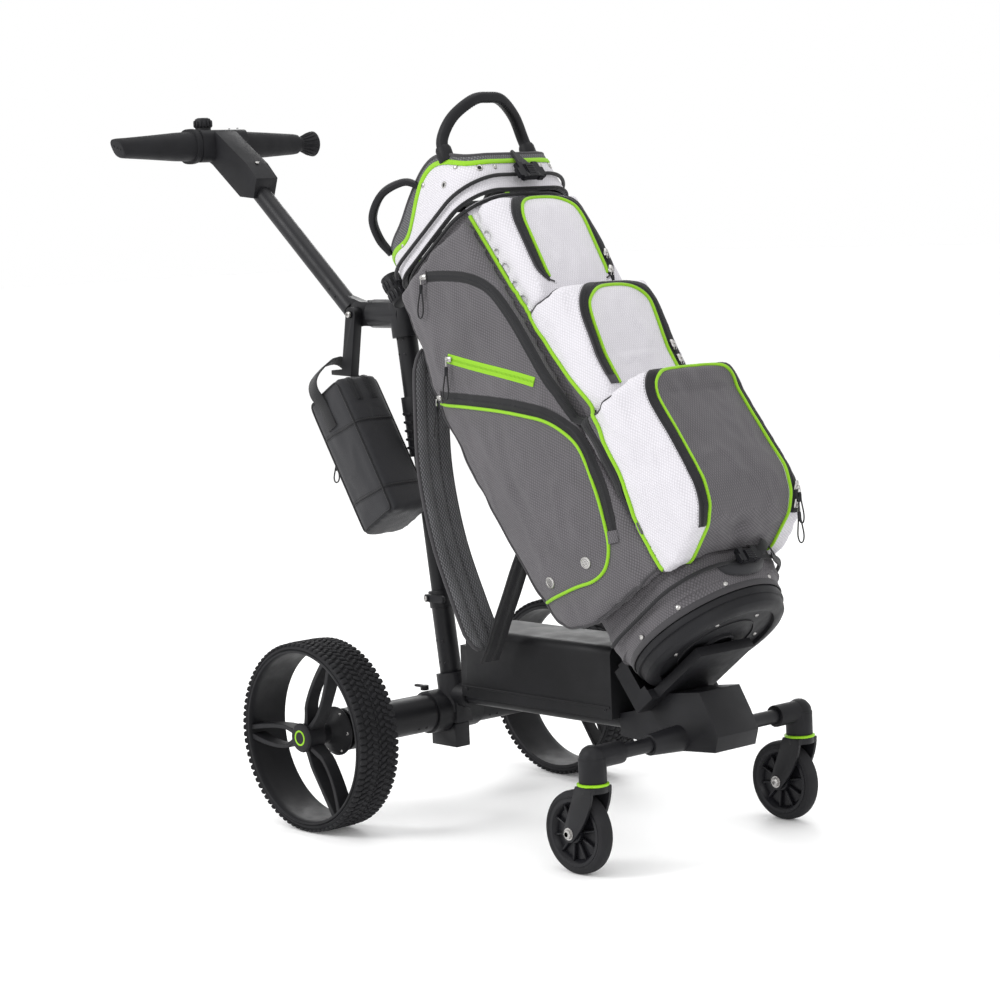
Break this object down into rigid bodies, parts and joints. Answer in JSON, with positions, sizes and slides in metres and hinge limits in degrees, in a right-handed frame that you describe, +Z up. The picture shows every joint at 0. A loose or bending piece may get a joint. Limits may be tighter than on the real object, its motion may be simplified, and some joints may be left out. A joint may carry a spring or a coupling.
{
  "type": "golf bag on push cart",
  "caption": "Padded golf cart bag strapped on a four-wheel remote trolley with a battery case, swivel casters, a tilting handle and a hanging accessory bag.",
  "frame": {"origin": "centre of the overall box at ground level", "axes": "+X forward to the casters, +Y left, +Z up; the part stands on the ground at z = 0"},
  "size_m": [1.3026, 0.629, 1.1579],
  "materials": {
    "black_metal": "satin black coated aluminium tube and castings",
    "case_shell": "satin black battery case",
    "black_plastic": "black moulded plastic",
    "grip_rubber": "soft black rubber",
    "tyre_rubber": "black rubber tyre",
    "lime_plastic": "lime green plastic",
    "grey_cloth": "grey coated twill",
    "white_cloth": "white coated cloth",
    "mesh_cloth": "padded dark mesh",
    "dark_cloth": "black cloth, webbing and shock cord"
  },
  "bodies": {
    "frame": {"rear_casting": "black_metal", "right_motor_tube": "black_metal", "left_motor_tube": "black_metal", "spine_tube": "black_metal", "front_casting": "black_metal", "front_cross_tube": "black_metal", "lower_post": "black_metal", "upper_post": "black_metal", "post_head": "black_metal", "bag_hanger": "black_metal", "battery_case": "case_shell", "bag_base": "black_plastic", "top_divider": "black_plastic", "front_handle": "black_plastic", "right_side_handle": "black_plastic", "left_side_handle": "black_plastic", "lower_cradle": "black_plastic", "upper_cradle": "black_plastic", "anti_tip_socket": "black_plastic", "right_caster_elbow": "black_plastic", "left_caster_elbow": "black_plastic", "post_clip": "black_plastic", "collar_buckle": "black_plastic", "base_buckle": "black_plastic", "bag_barrel": "grey_cloth", "ball_pocket": "grey_cloth", "right_side_pocket": "grey_cloth", "left_side_pocket": "grey_cloth", "bag_collar": "white_cloth", "upper_pocket": "white_cloth", "middle_pocket": "white_cloth", "shoulder_strap": "mesh_cloth", "upper_cord": "dark_cloth", "upper_cord_low": "dark_cloth", "base_cord": "dark_cloth", "strap_webbing": "dark_cloth", "accessory_bag": "dark_cloth", "accessory_bag_loop": "dark_cloth"},
    "left_wheel": {"left_tyre": "tyre_rubber", "left_rim": "black_plastic", "left_hub_cap": "black_plastic"},
    "right_wheel": {"right_tyre": "tyre_rubber", "right_rim": "black_plastic", "right_hub_cap": "black_plastic"},
    "left_caster": {"left_swivel_ring": "lime_plastic", "left_caster_fork": "black_metal"},
    "right_caster": {"right_swivel_ring": "lime_plastic", "right_caster_fork": "black_metal"},
    "left_caster_wheel": {"left_caster_hub": "black_plastic", "left_caster_tyre": "tyre_rubber"},
    "right_caster_wheel": {"right_caster_hub": "black_plastic", "right_caster_tyre": "tyre_rubber"},
    "handle": {"handle_shaft": "black_metal", "handlebar_clamp": "black_plastic", "right_grip": "grip_rubber", "left_grip": "grip_rubber"},
    "dial": {"speed_dial": "black_plastic"},
    "post_latch": {"post_latch_lever": "black_plastic"},
    "drive_release": {"drive_release_lever": "black_plastic"}
  },
  "joints": [
    {"name": "left_wheel_spin", "type": "hinge", "parent": "frame", "child": "left_wheel", "pos_m": [-0.05735, 0.274, 0.1525], "axis": [0, 1, 0], "continuous": true},
    {"name": "left_caster_swivel", "type": "hinge", "parent": "frame", "child": "left_caster", "pos_m": [0.51665, 0.225, 0.176], "axis": [0, 0, 1], "continuous": true},
    {"name": "left_caster_spin", "type": "hinge", "parent": "left_caster", "child": "left_caster_wheel", "pos_m": [0.48365, 0.225, 0.0625], "axis": [0, 1, 0], "continuous": true},
    {"name": "right_wheel_spin", "type": "hinge", "parent": "frame", "child": "right_wheel", "pos_m": [-0.05735, -0.274, 0.1525], "axis": [0, 1, 0], "continuous": true},
    {"name": "right_caster_swivel", "type": "hinge", "parent": "frame", "child": "right_caster", "pos_m": [0.51665, -0.225, 0.176], "axis": [0, 0, 1], "continuous": true},
    {"name": "right_caster_spin", "type": "hinge", "parent": "right_caster", "child": "right_caster_wheel", "pos_m": [0.48365, -0.225, 0.0625], "axis": [0, 1, 0], "continuous": true},
    {"name": "handle_angle", "type": "hinge", "parent": "frame", "child": "handle", "pos_m": [-0.22835, 0, 0.806], "axis": [0, 1, 0], "range_deg": [-30, 45]},
    {"name": "speed_dial_turn", "type": "hinge", "parent": "handle", "child": "dial", "pos_m": [-0.62635, -0.022, 1.14], "axis": [0, 0, 1], "range_deg": [0, 270]},
    {"name": "post_latch_turn", "type": "hinge", "parent": "frame", "child": "post_latch", "pos_m": [-0.06412, -0.021, 0.34], "axis": [0, 1, 0], "range_deg": [0, 90]},
    {"name": "drive_release_turn", "type": "hinge", "parent": "frame", "child": "drive_release", "pos_m": [-0.06935, -0.04, 0.19], "axis": [0, 0, 1], "range_deg": [0, 60]}
  ]
}
